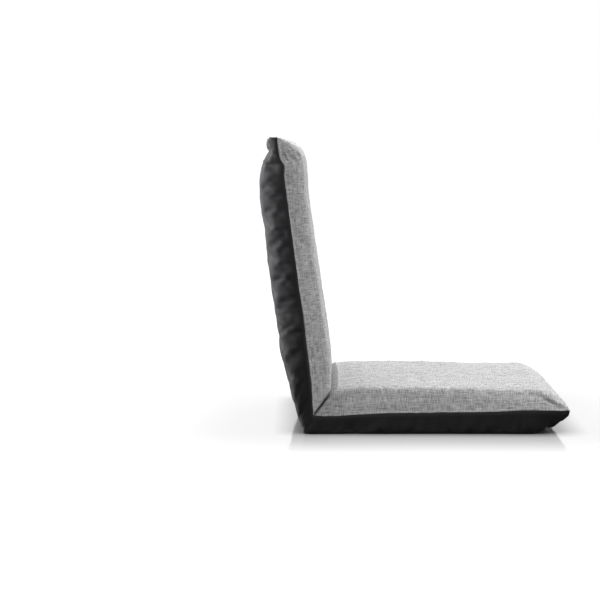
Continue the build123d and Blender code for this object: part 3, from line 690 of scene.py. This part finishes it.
def scatter(seed, count, *ranges):
    """Seeded folds with each of their values between a least and a most."""
    rng = np.random.default_rng(seed)
    return [tuple(rng.uniform(*ends) for ends in ranges) for _ in range(count)]


# scattered wrinkles: how many, then the least and the most of their place along the
# cover, their place across it, their turn, length, width and depth
UPRIGHT = (14, (0.05, 0.50), (0.008, 0.034), (1.0, 2.1), (0.009, 0.022), (0.0028, 0.0055),
           (0.0008, 0.0018))
ASLANT = (17, (-0.54, -0.06), (0.010, 0.045), (0.9, 2.2), (0.012, 0.032), (0.003, 0.007),
          (0.0009, 0.0022))
BESIDE_FOLD = (8, (-0.07, 0.07), (0.010, 0.050), (0.5, 1.2), (0.014, 0.030), (0.003, 0.005),
               (0.0010, 0.0022))
LONG = (16, (-0.53, -0.04), (-0.2, 0.2), (1.2, 1.95), (0.04, 0.11), (0.005, 0.010),
        (0.0005, 0.0013))
UNDER_EARS = ((-0.511, 0.036, 1.62, 0.040, 0.0040, 0.0032), (-0.497, 0.030, 1.40, 0.026, 0.0045, 0.0014))
UNEVEN_FACE = {"grey": 0.0005, "black": 0.0014}  # soft waves of the filling
PUCKER_PITCH, PUCKER_DEPTH = 0.0125, 0.0004  # beside a seam
GATHER_PITCH, GATHER_DEPTH = 0.0066, 0.0030  # along an ear


def side_wrinkles(along, from_seam, seed):
    """Short wrinkles in a black side wall."""
    folds = []
    for i, table in enumerate((UPRIGHT, ASLANT, BESIDE_FOLD)):
        folds += scatter(seed + i, *table)
    return fold_field(along, from_seam, folds)


def black_wrinkles(points, patches, along, from_seam, middle, seed):
    """Wrinkles of the black cloth's side walls, rear and ears."""
    y, side_gap, end_gap = (joined(patches, name) for name in ("y", "side_gap", "end_gap"))
    field = np.zeros(along.shape)
    for side in (-1, 1):
        field += np.where(np.sign(y) == side, side_wrinkles(along, from_seam, seed + 10 * side + 20), 0)
    field += fold_field(along, middle, scatter(seed + 50, *LONG))
    # scalloped gathers along the ears
    ear = (1 - step_up(side_gap, 0.03, 0.06)) * (1 - step_up(end_gap, 0.010, 0.016)) * (along < 0)
    depth = np.linalg.norm(points - points[:1], axis=2)
    scallop = np.abs(np.sin(depth / GATHER_PITCH * math.pi)) ** 0.6
    field -= GATHER_DEPTH * scallop * ear * step_up(end_gap, 0.0, 0.0005)
    return field + fold_field(along, from_seam, UNDER_EARS)


def wrinkle(points, patches, seed):
    """Move a cover's points along their normals: an uneven fill, puckers at the
    seams, gathers at the corners, and wrinkles in slack cloth."""
    face = patches[0].face
    place = np.concatenate([-patches[0].place[::-1], patches[1].place[1:]])
    y, seam_gap, side_gap, end_gap, crease_gap = (
        joined(patches, name) for name in ("y", "seam_gap", "side_gap", "end_gap", "crease_gap"))
    girth = girths(np.linalg.norm(np.diff(points, axis=1), axis=2))
    from_seam = np.minimum(girth, girth[:, -1:] - girth)
    middle = girth - girth[:, -1:] / 2

    field = UNEVEN_FACE[face] * ripple(place, middle, 0.11, seed)
    field += 0.0003 * ripple(place, middle, 0.04, seed + 3)
    run = np.where(side_gap < end_gap, place, y)
    pucker = np.sin(run / PUCKER_PITCH * 2 * math.pi + 3 * ripple(run, 0 * y, 0.09, seed + 1))
    strength = 0.6 + 0.4 * ripple(run, 0 * y, 0.15, seed + 2)
    beside = step_up(seam_gap, 0.0005, 0.004) * (1 - step_up(seam_gap, 0.008, 0.03))
    field += PUCKER_DEPTH * pucker * strength * beside
    if face == "black":
        field += black_wrinkles(points, patches, place, from_seam, middle, seed)
    field *= step_up(seam_gap, 0.0, 0.004) * step_up(crease_gap, 0.003, 0.014)
    if face == "black":  # smooth beside the hinges
        field *= 1 - (1 - step_up(crease_gap, 0.02, 0.06)) * step_up(side_gap, 0.025, 0.04)
    field += np.concatenate([patches[0].corner_folds()[::-1], patches[1].corner_folds()[1:]])
    field *= step_up(points[..., 2], 0.0005, 0.010)  # flat on the floor
    return points + normals(points) * field[..., None]


OUTER = {}  # the covers' outer surfaces, for what lies under them
FOAM_GAP = 0.006  # foam to the covers
FOAM_NARROWER = 0.045  # foam near the crease, on each side of the covers
FOAM_NEAR = 0.03  # that is, this far from it
FOAM_MESH = 0.006
TUCKS = 3


def keep_from_crease(obj, panel, gap):
    """Move the points of a foam slab that stand in the crease to their own panel's side."""
    sizes = bpy.context.scene.chair_sizes
    mitre = sizes.back_angle / 2
    side = 1 if panel == "seat" else -1
    normal = Vector((math.sin(mitre), 0, -math.cos(mitre))) * side
    crease = Vector((0, 0, sizes.seam_height)) + normal * (side * sizes.crease_shift + gap)
    widest = sizes.half_width - FOAM_NARROWER
    for vertex in obj.data.vertices:
        short = (crease - vertex.co).dot(normal)
        if short > -FOAM_NEAR:
            vertex.co.y = max(-widest, min(widest, vertex.co.y))
        if short > 0 and vertex.co.z > sizes.seam_height:
            vertex.co += normal * short


def tuck_under(obj, gap):
    """Move the points of a piece that stand too near the covers to their inside."""
    for surface in OUTER.values():
        for vertex in obj.data.vertices:
            place, normal, _, _ = surface.find_nearest(vertex.co, 0.03)
            if place is not None and (vertex.co - place).dot(normal) > -gap:
                vertex.co = place - normal * gap


def lay_out(face, step, near, end, edge):
    """Points of a cover on a grid of places, from the top of the back to the front of
    the seat, with its two patches and its columns."""
    across = panel_columns(step, edge)
    if face == "black":
        across = across[::-1]
    back, seat = (Patch(panel, face, panel_rows(panel, step, near, end), across)
                  for panel in ("back", "seat"))
    back_points, crease = back.points()
    seat_points, _ = seat.points(crease)
    return np.concatenate([back_points[::-1], seat_points[1:]]), (back, seat), across


def read(items, key, width=1, kind=float):
    """One value, or several, of every item of a mesh."""
    found = np.empty(len(items) * width, kind)
    items.foreach_get(key, found)
    return found.reshape(-1, width) if width > 1 else found


def shape(obj, kind, **settings):
    """Add a modifier to the active object and apply it."""
    modifier = obj.modifiers.new(kind, kind)
    for key, value in settings.items():
        setattr(modifier, key, value)
    bpy.ops.object.modifier_apply(modifier=modifier.name)


def grid_object(name, points):
    """A grid whose points are put in their places, with the row and column of each."""
    rows, columns = points.shape[:2]
    bpy.ops.object.select_all(action="DESELECT")
    bpy.ops.mesh.primitive_grid_add(x_subdivisions=rows - 1, y_subdivisions=columns - 1, size=2)
    obj = bpy.context.object
    obj.name = obj.data.name = name
    flat = read(obj.data.vertices, "co", 3)
    row = np.rint((flat[:, 0] + 1) / 2 * (rows - 1)).astype(int)
    column = np.rint((flat[:, 1] + 1) / 2 * (columns - 1)).astype(int)
    obj.data.vertices.foreach_set("co", points[row, column].ravel())
    obj.data.update()
    return obj, row, column


def joined(patches, name):
    """A quantity of both panels, in the order of a cover's rows."""
    back, seat = (getattr(patch, name) for patch in patches)
    return np.concatenate([back[::-1], seat[1:]])


def signed_rows(patches):
    """Places of a cover's rows along the panels, below zero on the back."""
    return np.concatenate([-patches[0].place[::-1, 0], patches[1].place[1:, 0]])


def resample(field, at, axis):
    """Smooth values of a field between its rows, at fractional row numbers."""
    field = np.moveaxis(field, axis, 0)
    i = np.clip(np.floor(at).astype(int), 0, len(field) - 2)
    t = (at - i).reshape((-1,) + (1,) * (field.ndim - 1))
    before, low, high, after = (field[np.clip(i + k, 0, len(field) - 1)] for k in (-1, 0, 1, 2))
    smooth = low + 0.5 * t * (high - before + t * (
        2 * before - 5 * low + 4 * high - after + t * (3 * (low - high) + after - before)))
    return np.moveaxis(smooth, 0, axis)


def held_points(face, points, patches):
    """Where the simulated cloth can't move: at its seams and the crease, and black cloth
    also near the hinges, on the floor and at the ears."""
    seam_gap, side_gap, end_gap, crease_gap = (
        joined(patches, name) for name in ("seam_gap", "side_gap", "end_gap", "crease_gap"))
    held = (seam_gap < HELD_EDGE) | (crease_gap < HELD_FOLD[face])
    if face == "black":
        held |= points[..., 2] < HELD_EDGE
        held |= (end_gap < HELD_EAR[0]) & (side_gap < HELD_EAR[1])
    return held


def settle(face, fine_patches, fine_across):
    """Cloth simulation of a cover that is a little too large for its filling, pressed
    out from inside. Gives how far each point of the fine grid moves."""
    scene = bpy.context.scene
    sizes = scene.chair_sizes
    black = face == "black"
    points, patches, across = lay_out(face, sizes.slack_step, SLACK_NEAR, SLACK_END, SLACK_EDGE[face])

    # an uneven filling, so that no two wrinkles are alike
    place, y = signed_rows(patches)[:, None], across[None, :]
    free = (step_up(joined(patches, "seam_gap"), 0.002, 0.03)
            * step_up(joined(patches, "crease_gap"), 0.01, 0.04))
    uneven = 0.0010 * ripple(place, y, 0.075, 5) + 0.0008 * ripple(place, y, 0.035, 6, 9)
    uneven *= UNEVEN[face]
    filled = points + normals(points) * (uneven * free)[..., None]
    obj, row, column = grid_object("slack_" + face, filled)

    group = obj.vertex_groups.new(name="held")
    held = held_points(face, points, patches)[row, column]
    rest = sizes.rest_black if black else sizes.rest_grey
    for which, weight in ((held, 1.0), (~held, rest)):
        group.add([int(i) for i in np.flatnonzero(which)], weight, "REPLACE")
    cloth = obj.modifiers.new("Cloth", "CLOTH")
    for key, value in SLACK_CLOTH.items():
        setattr(cloth.settings, key, value)
    cloth.settings.vertex_group_mass = group.name
    cloth.settings.shrink_min = -(sizes.slack_black if black else sizes.slack_grey)
    cloth.settings.effector_weights.gravity = 0.0
    cloth.collision_settings.use_collision = False
    cloth.point_cache.frame_start, cloth.point_cache.frame_end = 1, SLACK_FRAMES
    for number in range(1, SLACK_FRAMES + 1):
        scene.frame_set(number)
    bpy.ops.object.modifier_apply(modifier=cloth.name)
    moved = np.zeros(points.shape)
    moved[row, column] = read(obj.data.vertices, "co", 3) - points[row, column]
    bpy.data.objects.remove(obj)
    scene.frame_set(1)

    far = np.linalg.norm(moved, axis=2, keepdims=True) + 1e-12
    moved *= SLACK_LIMIT * np.tanh(far / SLACK_LIMIT) / far
    way = -1 if black else 1  # the black cover's columns run the other way
    at_rows = np.interp(signed_rows(fine_patches), signed_rows(patches), np.arange(len(moved)))
    at_columns = np.interp(way * fine_across, way * across, np.arange(moved.shape[1]))
    return resample(resample(moved, at_rows, 0), at_columns, 1)


def lay_flat(mesh, row, column, patches):
    """Keep the cut as a UV map: along each panel, and round its section from the middle."""
    back, seat = patches
    last = len(back.place) - 1
    loops = read(mesh.loops, "vertex_index", kind=int)
    first = read(mesh.polygons, "loop_start", kind=int)
    loop_row, loop_column = row[loops], column[loops]
    on_seat = np.repeat(np.add.reduceat(loop_row, first) / 4 > last, 4)
    cut = np.where(on_seat[:, None],
                   seat.cut()[np.maximum(loop_row - last, 0), loop_column],
                   back.cut()[np.maximum(last - loop_row, 0), loop_column])
    mesh.uv_layers.active.name = "cut"
    mesh.uv_layers["cut"].data.foreach_set("uv", cut.ravel())
    mesh.update()


def cover(name, face, finish):
    """One cover, from the top of the back over the fold to the front of the seat."""
    sizes = bpy.context.scene.chair_sizes
    points, patches, across = lay_out(
        face, sizes.mesh_step, BAND_ROWS + AFTER_BAND, END_ROWS, EDGE_COLUMNS)
    points = points + settle(face, patches, across)
    points = wrinkle(points, patches, SEEDS[face])
    if face == "black":
        points[..., 2] = np.maximum(points[..., 2], 0.0)
    obj, row, column = grid_object(name, points)
    mesh = obj.data
    lay_flat(mesh, row, column, patches)
    OUTER[face] = BVHTree.FromPolygons([v.co.copy() for v in mesh.vertices],
                                       [tuple(p.vertices) for p in mesh.polygons])
    shape(obj, "SOLIDIFY", thickness=sizes.cloth, offset=-1)
    bpy.ops.object.shade_smooth()
    mesh.materials.append(finish)
    return obj


def fold_across(obj):
    """Let the cloth turn from the seat to the back in a narrow band at the crease."""
    sizes = bpy.context.scene.chair_sizes
    mitre = sizes.back_angle / 2
    normal = Vector((-math.sin(mitre), 0, math.cos(mitre)))
    crease = Vector((0, 0, sizes.seam_height)) - normal * sizes.crease_shift
    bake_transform(obj, "seat", "back", start=tuple(crease - normal * BAND), end=tuple(crease + normal * BAND))


class CHAIR_OT_grey_cover(bpy.types.Operator):
    """Make the grey melange cover, one piece from the top of the back to the front of the seat"""
    bl_idname = "chair.grey_cover"
    bl_label = "Grey cover"

    def execute(self, context):
        obj = cover("cover_grey", "grey", melange_cloth())
        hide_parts("seat_cover_top", "back_cover_front", "seat_fold_cover", "back_fold_cover")
        fold_across(obj)
        return {"FINISHED"}


class CHAIR_OT_black_cover(bpy.types.Operator):
    """Make the black cover of the underside and the rear, with its heel round the fold"""
    bl_idname = "chair.black_cover"
    bl_label = "Black cover"

    def execute(self, context):
        obj = cover("cover_black", "black", black_cloth())
        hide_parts("seat_cover_bottom", "back_cover_rear", "fold_gusset")
        fold_across(obj)
        return {"FINISHED"}


# ---------------------------------------------------------------- inside the cushions

def foam_finish():
    """Open-cell foam: cream, with pores."""
    foam = Finish("foam")
    place = foam.place()
    pores = foam.node("ShaderNodeTexVoronoi", {"Vector": place, "Scale": 700.0})
    cloud = foam.noise(place, 30.0, 3.0)
    pit = (pores * 2.2).clamp()
    # the pores are painted darker: painted shade in their hollows
    colour = foam.mix(pit, (0.50, 0.46, 0.35), (0.80, 0.76, 0.64))
    colour = foam.mix(cloud, colour, (0.86, 0.83, 0.74))
    return foam.principled(Base_Color=colour, Roughness=0.95,
                           Normal=foam.bump(pit, 0.0005, 0.7))


def webbing_finish():
    """Flat woven polypropylene strap."""
    strap = Finish("webbing")
    x, y, z = strap.split(strap.place())
    ribs = ((x + z) * 500.0).math("FRACT")
    picks = (y * 400.0).math("FRACT")
    weave = ((ribs * math.pi).math("SINE") * 0.6 + (picks * math.pi).math("SINE") * 0.4).clamp()
    # darker between the ribs and picks, where the weave dips: painted shade
    colour = strap.mix(weave, (0.035, 0.035, 0.036), (0.10, 0.10, 0.105))
    return strap.principled(Base_Color=colour, Roughness=0.6, Sheen_Weight=0.1,
                            Normal=strap.bump(weave, 0.0003, 0.7))


def metal_finish(name, pale, dark, rough, grain_scale, metallic=1.0, coat=0.0):
    """Metal with fine grain, stains and slightly rubbed places."""
    metal = Finish(name)
    place = metal.place()
    grain = metal.noise(place, grain_scale, 4.0, 0.65)
    stain = metal.noise(place, 22.0, 3.0, 0.5)
    colour = metal.mix((grain * 0.6 + stain * 0.5 - 0.1).clamp(), dark, pale)
    roughness = (grain * 0.18 + (rough - 0.09)).clamp()
    return metal.principled(Base_Color=colour, Metallic=metallic, Roughness=roughness,
                            Coat_Weight=coat, Normal=metal.bump(grain, 0.0001, 0.35))


def nylon_finish():
    """Natural nylon, slightly cloudy."""
    nylon = Finish("nylon")
    cloud = nylon.noise(nylon.place(), 120.0, 2.0)
    colour = nylon.mix(cloud, (0.78, 0.77, 0.70), (0.88, 0.87, 0.82))
    return nylon.principled(Base_Color=colour, Roughness=0.42,
                            Normal=nylon.bump(cloud, 0.0001, 0.2))


def body_of(node):
    """The body that a CAD node rides on."""
    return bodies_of(frame["nodes"][node])[0]


FOAM_NODES = ("seat_foam_upper", "seat_foam_lower", "seat_fold_foam",
              "back_foam_front", "back_foam_rear", "back_fold_foam")


def merged_copy(node):
    """A copy of a CAD node as one mesh of its own, in place."""
    source = frame["nodes"][node]
    bpy.ops.object.select_all(action="DESELECT")
    obj = source.copy()
    obj.data = source.data.copy()
    obj.parent = None
    bpy.context.scene.collection.objects.link(obj)
    obj.matrix_world = source.matrix_world
    obj.name = obj.data.name = node + "_slab"
    for key in list(obj.keys()):
        del obj[key]
    obj.hide_render = obj.hide_viewport = False
    obj.select_set(True)
    bpy.context.view_layer.objects.active = obj
    bpy.ops.object.transform_apply(location=True, rotation=True, scale=True)
    bpy.ops.object.mode_set(mode="EDIT")
    bpy.ops.mesh.select_all(action="SELECT")
    bpy.ops.mesh.remove_doubles(threshold=0.05 * MM)
    bpy.ops.object.mode_set(mode="OBJECT")
    return obj


class CHAIR_OT_foam(bpy.types.Operator):
    """Make the foam slabs with soft edges, from merged copies of their solids"""
    bl_idname = "chair.foam"
    bl_label = "Foam slabs"

    def execute(self, context):
        finish = foam_finish()
        for node in FOAM_NODES:
            obj = merged_copy(node)
            shape(obj, "REMESH", mode="VOXEL", voxel_size=FOAM_MESH)
            shape(obj, "SMOOTH", iterations=6, factor=0.5)
            keep_from_crease(obj, node.split("_")[0], FOAM_GAP)
            for _ in range(TUCKS):
                tuck_under(obj, FOAM_GAP)
            bpy.ops.object.shade_smooth()
            obj.data.materials.clear()
            obj.data.materials.append(finish)
            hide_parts(node)
            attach(obj, body_of(node))
        return {"FINISHED"}


def dress(slot_name, finish):
    """Put a finish on every CAD node of a material slot."""
    found = 0
    for part in frame["record"]["subparts"]:
        if part["material_slot"] == slot_name:
            node = frame["nodes"][part["node"]]
            node.data.materials.clear()
            node.data.materials.append(finish)
            found += 1
    if not found:
        raise RuntimeError(f"no node has the slot {slot_name}")


class CHAIR_OT_webbing(bpy.types.Operator):
    """Finish the straps that carry the foam"""
    bl_idname = "chair.webbing"
    bl_label = "Webbing"

    def execute(self, context):
        dress("webbing", webbing_finish())
        return {"FINISHED"}


class CHAIR_OT_frame_steel(bpy.types.Operator):
    """Finish the tubes with black powder coat"""
    bl_idname = "chair.frame_steel"
    bl_label = "Frame tubes"

    def execute(self, context):
        dress("frame_steel", metal_finish("black powder coat", (0.06, 0.06, 0.063),
                                          (0.035, 0.035, 0.037), 0.45, 900.0, 0.0, 0.15))
        return {"FINISHED"}


class CHAIR_OT_hinges(bpy.types.Operator):
    """Finish the ratchet hinges: plated plates, springs and bushes"""
    bl_idname = "chair.hinges"
    bl_label = "Hinges"

    def execute(self, context):
        dress("hinge_steel", metal_finish("zinc plate", (0.66, 0.66, 0.67),
                                          (0.48, 0.48, 0.50), 0.36, 420.0))
        dress("spring_steel", metal_finish("spring steel", (0.42, 0.42, 0.45),
                                           (0.24, 0.25, 0.30), 0.32, 600.0))
        dress("nylon", nylon_finish())
        return {"FINISHED"}


# ---------------------------------------------------------------- studio

# each lamp: its place, what it points at, its size and its power in watts
LAMPS = {
    "rim": ((0.2, 1.8, 2.8), (0.15, 0, 0.2), (3.0, 1.6), 150),
    "side": ((3.0, 0.2, 1.4), (0.15, 0, 0.2), (2.0, 2.0), 116),
    "overhead": ((0.2, 0.2, 3.0), (0.15, 0, 0.1), (2.4, 2.4), 32),
    "left": ((-3.0, 0.1, 1.0), (0, 0, 0.3), (2.0, 1.2), 95),
    "left_rear": ((-2.8, 0.5, 0.6), (0, 0, 0.35), (1.6, 1.0), 140),
    "left_low": ((-1.7, -0.35, 0.8), (0, 0, 0.4), (1.0, 1.0), 22),
    "front_fill": ((-1.2, -0.9, 1.1), (0, 0, 0.4), (0.6, 0.6), 7),
}
SKY_LIGHT = 0.1  # strength of the world on the object
SHEET_SIZE = 60.0  # of the floor
SHEET_DROP = 0.0005  # floor under the chair
GLOSS_FADE = 0.18  # the mirror fades over this width
WHITE_FROM, WHITE_OVER = 0.06, 0.4  # beside the chair the floor turns white over this width
FLOOR_GLOW, FAR_GLOW = 0.66, 0.36  # what the camera sees of the floor, and what it gains far away
SHADE_REACH = 0.06  # of the painted contact shadow


def lamp(name, place, aim, size, power):
    """Soft rectangular lamp."""
    light = bpy.data.lights.new(name, "AREA")
    light.shape = "RECTANGLE"
    light.size, light.size_y = size
    light.energy = power
    obj = bpy.data.objects.new(name, light)
    bpy.context.scene.collection.objects.link(obj)
    obj.location = place
    obj.rotation_euler = (Vector(aim) - Vector(place)).to_track_quat("-Z", "Y").to_euler()


def beside_chair(place):
    """How far a point of the floor lies outside the chair's box."""
    x, y, _ = place.finish.split(place)
    low, high = CAD_LOW, CAD_HIGH
    beside_x = (x - (low[0] + high[0]) / 2).math("ABSOLUTE") - (high[0] - low[0]) / 2
    beside_y = y.math("ABSOLUTE") - high[1]
    beside_x, beside_y = (gap.math("MAXIMUM", 0.0) for gap in (beside_x, beside_y))
    return (beside_x * beside_x + beside_y * beside_y).math("SQRT")


def floor_finish():
    """White acrylic: it mirrors only beside the chair, is white to the camera far away, and has a painted
    contact shadow in its glow beside the chair.
    """
    look = bpy.context.scene.studio_look
    paint = Finish("white acrylic floor")
    place = paint.place()
    beside = beside_chair(place)
    near = ((look.gloss_reach - beside) / GLOSS_FADE).clamp()
    mirror = paint.node("ShaderNodeFresnel", {"IOR": 1.45}) * near * look.gloss
    far = ((beside - WHITE_FROM) / WHITE_OVER).clamp()
    rough = paint.noise(place, 3.0, 2.0) * 0.02 + 0.07
    matt = paint.node("ShaderNodeBsdfDiffuse", {"Color": (0.12, 0.12, 0.12)})
    gloss = paint.node("ShaderNodeBsdfGlossy", {"Color": (1, 1, 1), "Roughness": rough})
    seen = paint.node("ShaderNodeLightPath", output="Is Camera Ray")
    # the camera's glow is darkened where the chair hides the sky: a painted contact shadow
    painted_contact_shadow = paint.node("ShaderNodeAmbientOcclusion", {"Distance": SHADE_REACH},
                          output="AO", samples=12)
    painted_contact_shadow = (painted_contact_shadow * 1.6 - 0.6).clamp()
    glow = paint.node("ShaderNodeEmission", {
        "Color": (1, 1, 1), "Strength": seen * (far * FAR_GLOW + FLOOR_GLOW) * painted_contact_shadow})
    lifted = paint.node("ShaderNodeAddShader", (matt, glow))
    return paint.surface(paint.node("ShaderNodeMixShader", (mirror, lifted, gloss)))


def white_world():
    """White to the camera, in mirrors and through glass, but a dim light."""
    sky = Finish("studio", "worlds")
    camera, mirror, glass = (sky.node("ShaderNodeLightPath", output=f"Is {ray} Ray")
                             for ray in ("Camera", "Glossy", "Transmission"))
    seen = camera.math("MAXIMUM", mirror).math("MAXIMUM", glass)
    dim, white = (sky.node("ShaderNodeBackground", {"Color": (1, 1, 1), "Strength": strength})
                  for strength in (SKY_LIGHT, 1.0))
    return sky.surface(sky.node("ShaderNodeMixShader", (seen, dim, white)))


class CHAIR_OT_studio(bpy.types.Operator):
    """Make the white glossy floor, the lamps and the camera"""
    bl_idname = "chair.studio"
    bl_label = "Studio"

    def execute(self, context):
        look = context.scene.studio_look
        bpy.ops.object.select_all(action="DESELECT")
        bpy.ops.mesh.primitive_plane_add(size=SHEET_SIZE, location=(0, 0, -SHEET_DROP))
        floor = context.object
        floor.name = "studio_floor"
        bpy.ops.object.transform_apply(location=True)
        floor.data.materials.append(floor_finish())
        context.scene.world = white_world()
        for name, lighting in LAMPS.items():
            lamp(name, *lighting)

        camera = bpy.data.cameras.new("camera")
        camera.lens = look.lens
        camera.sensor_width = 36
        eye = bpy.data.objects.new("camera", camera)
        context.scene.collection.objects.link(eye)
        eye.location = look.camera_place
        eye.rotation_euler = (math.radians(90) - look.camera_dip, 0, look.camera_turn)
        context.scene.camera = eye
        context.scene.view_settings.view_transform = "Standard"
        return {"FINISHED"}


# ---------------------------------------------------------------- add-on

class CHAIR_PT_panel(bpy.types.Panel):
    """Lists the steps that make the chair"""
    bl_label = "Folding floor chair"
    bl_space_type = "VIEW_3D"
    bl_region_type = "UI"
    bl_category = "Floor chair"

    def draw(self, context):
        for group in (context.scene.chair_sizes, context.scene.cloth_look,
                      context.scene.studio_look):
            box = self.layout.box()
            for key in group.bl_rna.properties.keys():
                if key not in ("rna_type", "name"):
                    box.prop(group, key)
        for operator in STEPS:
            self.layout.operator(operator.bl_idname)


STEPS = (CHAIR_OT_studio, CHAIR_OT_grey_cover, CHAIR_OT_black_cover, CHAIR_OT_foam,
         CHAIR_OT_webbing, CHAIR_OT_frame_steel, CHAIR_OT_hinges)
GROUPS = {"chair_sizes": ChairSizes, "cloth_look": ClothLook, "studio_look": StudioLook}


def register():
    for kind in (*GROUPS.values(), *STEPS, CHAIR_PT_panel):
        bpy.utils.register_class(kind)
    for name, group in GROUPS.items():
        setattr(bpy.types.Scene, name, bpy.props.PointerProperty(type=group))


def unregister():
    for name in GROUPS:
        delattr(bpy.types.Scene, name)
    for kind in (CHAIR_PT_panel, *reversed(STEPS), *reversed(list(GROUPS.values()))):
        bpy.utils.unregister_class(kind)


def main():
    register()
    for operator in STEPS:
        space, name = operator.bl_idname.split(".")
        getattr(getattr(bpy.ops, space), name)()


if __name__ == "__main__":
    main()
